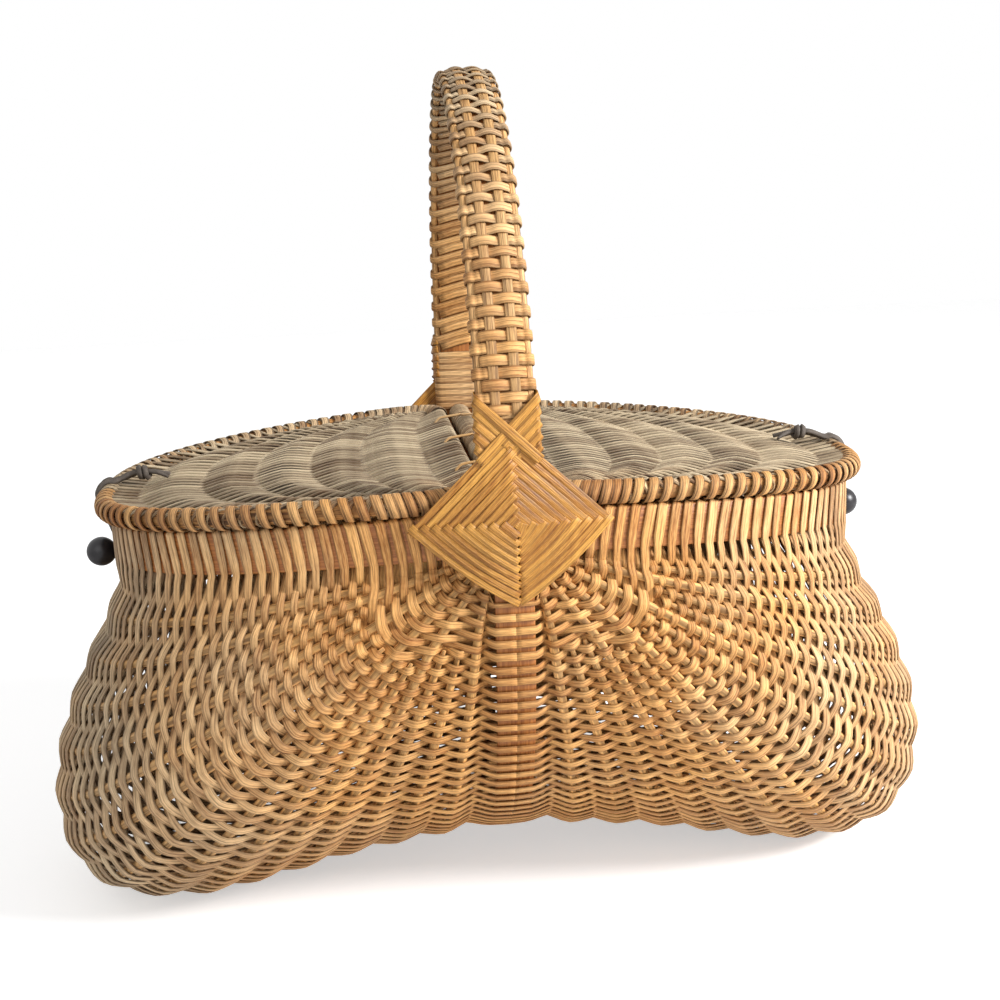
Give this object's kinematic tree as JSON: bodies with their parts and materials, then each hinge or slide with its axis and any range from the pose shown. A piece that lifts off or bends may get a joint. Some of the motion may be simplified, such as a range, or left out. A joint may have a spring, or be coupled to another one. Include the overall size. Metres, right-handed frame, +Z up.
{
  "type": "buttocks basket",
  "caption": "Lidded twin-lobed ribbed basket woven in reed on two wooden hoops, with a hoop handle, two hinged half lids, lashed diamond ears and ball closures.",
  "frame": {"origin": "middle of the surface that the basket stands on, under the middle of the object's box", "axes": "+Z up, +X towards the right lobe along the basket's long axis, -Y towards the front ear; the handle hoop lies in the plane X = 0"},
  "size_m": [0.528, 0.332, 0.474],
  "materials": {
    "hoop_wood": "oiled orange-brown oak hoops and bar",
    "rib_reed": "round golden reed, matte",
    "woven_reed": "flat golden-tan reed weaving and binding, satin with fine lengthwise grain",
    "lid_reed": "weathered grey-taupe flat reed, matte",
    "dark_ball": "near-black stained and polished wood",
    "leather_lace": "grey-brown suede lace"
  },
  "bodies": {
    "basket": {"handle_hoop": "hoop_wood", "rim_hoop": "hoop_wood", "center_bar": "hoop_wood", "rib_left_01": "rib_reed", "rib_left_02": "rib_reed", "rib_left_03": "rib_reed", "rib_left_04": "rib_reed", "rib_left_05": "rib_reed", "rib_left_06": "rib_reed", "rib_left_07": "rib_reed", "rib_left_08": "rib_reed", "rib_left_09": "rib_reed", "rib_left_10": "rib_reed", "rib_left_11": "rib_reed", "rib_left_12": "rib_reed", "rib_left_13": "rib_reed", "rib_left_14": "rib_reed", "rib_right_01": "rib_reed", "rib_right_02": "rib_reed", "rib_right_03": "rib_reed", "rib_right_04": "rib_reed", "rib_right_05": "rib_reed", "rib_right_06": "rib_reed", "rib_right_07": "rib_reed", "rib_right_08": "rib_reed", "rib_right_09": "rib_reed", "rib_right_10": "rib_reed", "rib_right_11": "rib_reed", "rib_right_12": "rib_reed", "rib_right_13": "rib_reed", "rib_right_14": "rib_reed", "weaving_front_left": "woven_reed", "weaving_front_right": "woven_reed", "weaving_back_left": "woven_reed", "weaving_back_right": "woven_reed", "rim_binding": "woven_reed", "ear_front": "woven_reed", "ear_back": "woven_reed", "handle_weave": "woven_reed", "handle_splint_left": "woven_reed", "handle_splint_right": "woven_reed", "handle_edge_reed_left": "woven_reed", "handle_edge_reed_right": "woven_reed", "center_bar_winding": "woven_reed", "hinge_tie_1": "woven_reed", "hinge_tie_2": "woven_reed", "hinge_tie_3": "woven_reed", "ball_left": "dark_ball", "ball_right": "dark_ball"},
    "lid_left": {"lid_left_frame": "lid_reed", "lid_left_spar": "lid_reed", "lid_left_weaving": "lid_reed", "lid_left_lace": "leather_lace"},
    "lid_right": {"lid_right_frame": "lid_reed", "lid_right_spar": "lid_reed", "lid_right_weaving": "lid_reed", "lid_right_lace": "leather_lace"}
  },
  "joints": [
    {"name": "lid_right_hinge", "type": "hinge", "parent": "basket", "child": "lid_right", "pos_m": [0.0155, 0, 0.254], "axis": [0, -1, 0], "range_deg": [0, 80], "deforming": ["lid_right_lace"]},
    {"name": "lid_left_hinge", "type": "hinge", "parent": "basket", "child": "lid_left", "pos_m": [-0.0155, 0, 0.254], "axis": [0, 1, 0], "range_deg": [0, 80], "deforming": ["lid_left_lace"]}
  ]
}
